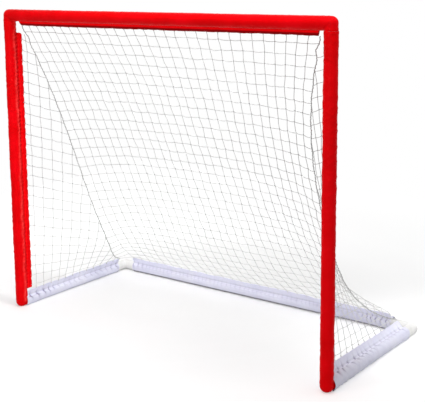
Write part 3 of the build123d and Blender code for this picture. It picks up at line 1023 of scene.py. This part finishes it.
def seen_directly(tree):
    """1 for what the camera sees, straight or by reflection, and 0 for the light on the goal."""
    rays = tree.nodes.new("ShaderNodeLightPath").outputs
    mirrored_or_clear = combine(tree, "MAXIMUM", rays["Is Glossy Ray"], rays["Is Transmission Ray"])
    return combine(tree, "MAXIMUM", rays["Is Camera Ray"], mirrored_or_clear)


# ======== stage
def add_floor():
    points = floor_reach * np.array([[-1, -1, 0], [1, -1, 0], [1, 1, 0], [-1, 1, 0]])
    mesh = bpy.data.meshes.new("floor")
    mesh.from_pydata(points.tolist(), [], [[0, 1, 2, 3]])
    mesh.materials.append(floor_material())
    floor = new_object("floor", mesh)


def add_world(brightness):
    """White all round: bright behind the goal, and dimmer as the light that falls on it."""
    world = bpy.data.worlds.new("studio")
    bpy.context.scene.world = world
    world.use_nodes = True
    tree = world.node_tree
    strength = combine(tree, "MULTIPLY_ADD", seen_directly(tree), 1 - brightness, brightness)
    fill(tree, tree.nodes["Background"], {"Color": (1, 1, 1, 1), "Strength": strength})


def add_lamp(name, place, aim, size, power, spread=180):
    light = bpy.data.lights.new(name, "AREA")
    light.spread = math.radians(spread)
    light.shape = "RECTANGLE"
    light.size, light.size_y = size
    light.energy = power
    lamp = new_object(name, light)
    lamp.location = place
    way = Vector(aim) - Vector(place)
    lamp.rotation_euler = way.to_track_quat("-Z", "Y").to_euler()


def add_camera():
    """The camera, turned left by its heading, down by its dip and round its own axis by its tip."""
    optics = bpy.data.cameras.new("camera")
    optics.sensor_width = 36.0
    optics.lens = camera_lens
    optics.shift_y = camera_shift
    camera = new_object("camera", optics)
    camera.location = camera_place
    forward = swing(swing(BACK, -ACROSS, camera_heading), -UP, camera_dip)
    level_right = swing(ACROSS, BACK, camera_heading)
    level_up = np.cross(level_right, forward)
    right = swing(level_right, level_up, camera_tip)
    up = swing(level_up, -level_right, camera_tip)
    camera.rotation_euler = Matrix(np.stack([right, up, -forward], 1).tolist()).to_euler()
    bpy.context.scene.camera = camera


# ======== build
bpy.context.scene.view_settings.view_transform = "Standard"

red_dye = [(0.67, 0.0006, 0.002), (0.74, 0.0008, 0.003), (0.80, 0.0012, 0.005)]
# red painted highlight on top of folds and red painted shade between them
red_fold_highlight, red_fold_shade = (1.0, 0.060, 0.055), (0.70, 0.0005, 0.002)
white_dye = [(0.80, 0.80, 0.96), (0.85, 0.85, 1.0), (0.88, 0.88, 1.0)]
# white painted highlight on top of folds and purple-grey painted shade between them
white_fold_highlight, white_fold_shade = (0.90, 0.90, 1.0), (0.20, 0.17, 0.33)
red_look = red_dye, red_fold_highlight, red_fold_shade, red_flap_width
# painted light and shade: darker over the tube, paler on the flap where light falls through the thin cloth
white_painted_flap_light = [(0.0, 0.86), (0.12, 1.0), (0.80, 1.0), (0.92, 0.96)]
white_look = white_dye, white_fold_highlight, white_fold_shade, white_flap_width, white_painted_flap_light, 0.60, 0.20, 0.9
finishes = {
    "red_nylon": nylon(
        "red_cloth", *red_look,
        # painted highlight along the flap's seam, and painted shade towards the flap's edge
        [(0.0, 1.0), (0.04, 1.3), (0.25, 1.0), (0.80, 0.92), (0.95, 0.7)], 0.33, 0.02, 1.0,
    ),
    "red_nylon_painted_hem_shade": nylon(
        "red_cloth_painted_hem_shade", *red_look,
        # painted highlight along the seam, painted light on the flap, and a band of painted shade along its
        # edge
        [(0.0, 0.95), (0.03, 1.35), (0.60, 1.30), (0.78, 0.34)], 0.33, 0.02, 0.7,
    ),
    "white_nylon": nylon("white_cloth", *white_look),
    # white cloth with a painted contact shadow where it lies on the floor
    "contact_shaded_white_nylon": nylon("contact_shaded_white_cloth", *white_look, soil_and_contact_shade=(0.30, 0.28, 0.29)),
    "red_thread": thread("red_sewing_thread", (0.62, 0.0006, 0.002), (0.86, 0.0010, 0.004)),
    "white_thread": thread("white_sewing_thread", (0.66, 0.66, 0.80), (0.84, 0.84, 0.97)),
    "net_cord": twine("net_twine", [(0.44, 0.44, 0.437), (0.72, 0.72, 0.716)], 140),
    "seam_cord": twine("seam_twine", [(0.36, 0.36, 0.357), (0.52, 0.52, 0.515)], 70),
    "pvc": plastic_finish(),
}

for name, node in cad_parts.items():
    if any(word in name for word in ("tube", "coupler", "elbow")):
        node.data.materials.clear()
        node.data.materials.append(finishes["pvc"])

crossbar_sleeve()
rear_bar_sleeve()
back = mesh_piece("back_net", joined(back_net()), "net_cord")
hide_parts("back_net_panel")
for side, side_name in SIDES.items():
    post_sleeve(side)
    side_bar_sleeve(side)
    panel = mesh_piece(f"{side_name}_side_net", joined(side_net(side)), "net_cord")
    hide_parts(f"{side_name}_side_net_panel")
    seam = mesh_piece(f"{side_name}_seam", joined(seam_cords(side)), "seam_cord")
    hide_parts(f"{side_name}_seam_cord")

add_floor()
add_world(0.54)
add_lamp("key", (0.5, -2.4, 1.6), (-0.1, 0, 0.6), (0.6, 0.6), 7.0)
add_lamp("low", (1.2, -3.3, 0.8), (-0.1, 0, 0.6), (0.8, 0.8), 9)
add_lamp("left_post", (0.3, -2.6, 1.5), (-0.9, -0.2, 0.5), (0.5, 0.5), 1.3, 60)
add_lamp("left_bar", (0.9, -0.3, 1.9), (-0.7, 0.15, 0.1), (0.4, 0.4), 3.2, 60)
add_lamp("rear_bar", (0.2, -1.2, 2.4), (-0.3, 0.3, 0.0), (0.4, 0.4), 2.5, 80)
add_lamp("right_bar", (1.3, 0.4, 1.5), (0.68, 0.28, 0.0), (0.3, 0.3), 0.5, 35)
add_lamp("top", (0, -0.2, 4.0), (-0.1, 0, 0.6), (2.5, 2.5), 18)
add_camera()
